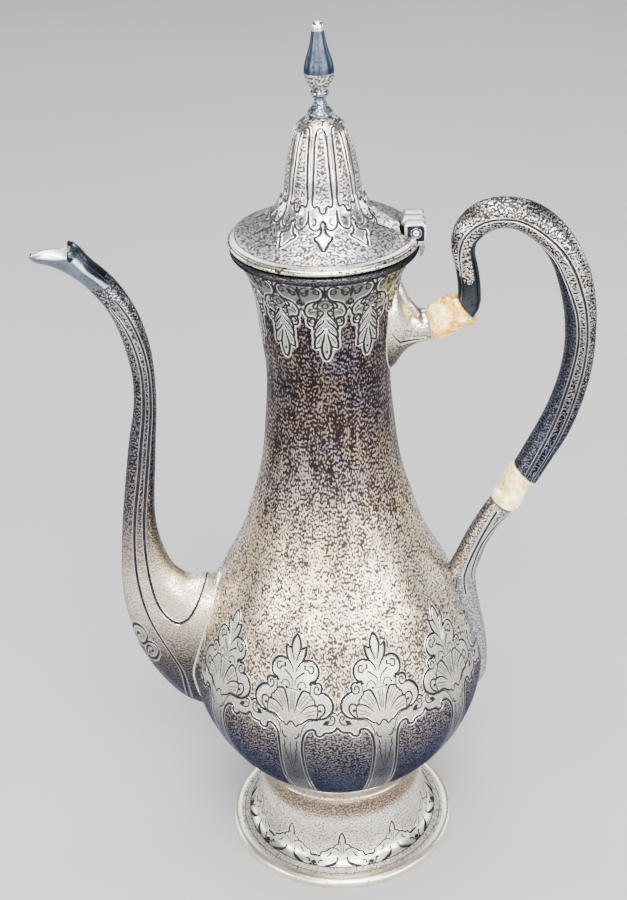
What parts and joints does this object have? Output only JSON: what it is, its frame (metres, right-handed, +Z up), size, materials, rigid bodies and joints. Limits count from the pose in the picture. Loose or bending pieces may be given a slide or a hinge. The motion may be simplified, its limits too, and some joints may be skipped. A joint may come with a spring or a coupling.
{
  "type": "demitasse pot",
  "caption": "Tall pear-shaped silver coffee pot on a spread foot, with a swan-neck spout, a looped handle on insulators and a hinged bell lid with a bud finial.",
  "frame": {"origin": "on the pot's own axis, in the plane of the foot's underside", "axes": "+Z up along the pot's axis, -X toward the spout, +X toward the handle and the lid's hinge"},
  "size_m": [0.1474, 0.085, 0.25],
  "materials": {
    "silver_etched": "silver with fine etched ground and engraved ornament, dark in the hollows",
    "silver_plain": "polished silver, lightly worn",
    "silver_dark": "polished silver with a blue-grey tarnish",
    "insulator_amber": "amber-stained bone or ivory, glossy",
    "insulator_ivory": "cream bone or ivory, glossy",
    "pin_metal": "plain metal"
  },
  "bodies": {
    "pot": {"body": "silver_etched", "spout": "silver_etched", "upper_socket": "silver_etched", "handle": "silver_etched", "lower_socket": "silver_etched", "mouth_rim": "silver_plain", "foot": "silver_plain", "foot_rim": "silver_plain", "foot_collar": "silver_plain", "hinge_bearer": "silver_plain", "body_knuckle_front": "silver_plain", "body_knuckle_rear": "silver_plain", "upper_insulator": "insulator_amber", "lower_insulator": "insulator_ivory", "hinge_pin": "pin_metal", "upper_socket_pin": "pin_metal", "upper_handle_pin": "pin_metal", "lower_handle_pin": "pin_metal", "lower_socket_pin": "pin_metal"},
    "lid": {"lid": "silver_etched", "lid_rim": "silver_plain", "lid_bezel": "silver_plain", "lid_knuckle": "silver_plain", "hinge_leaf": "silver_plain", "finial": "silver_dark", "finial_nut": "pin_metal", "finial_washer": "pin_metal"}
  },
  "joints": [
    {"name": "lid_hinge", "type": "hinge", "parent": "pot", "child": "lid", "pos_m": [0.0233, 0, 0.197], "axis": [0, 1, 0], "range_deg": [0, 100]}
  ]
}
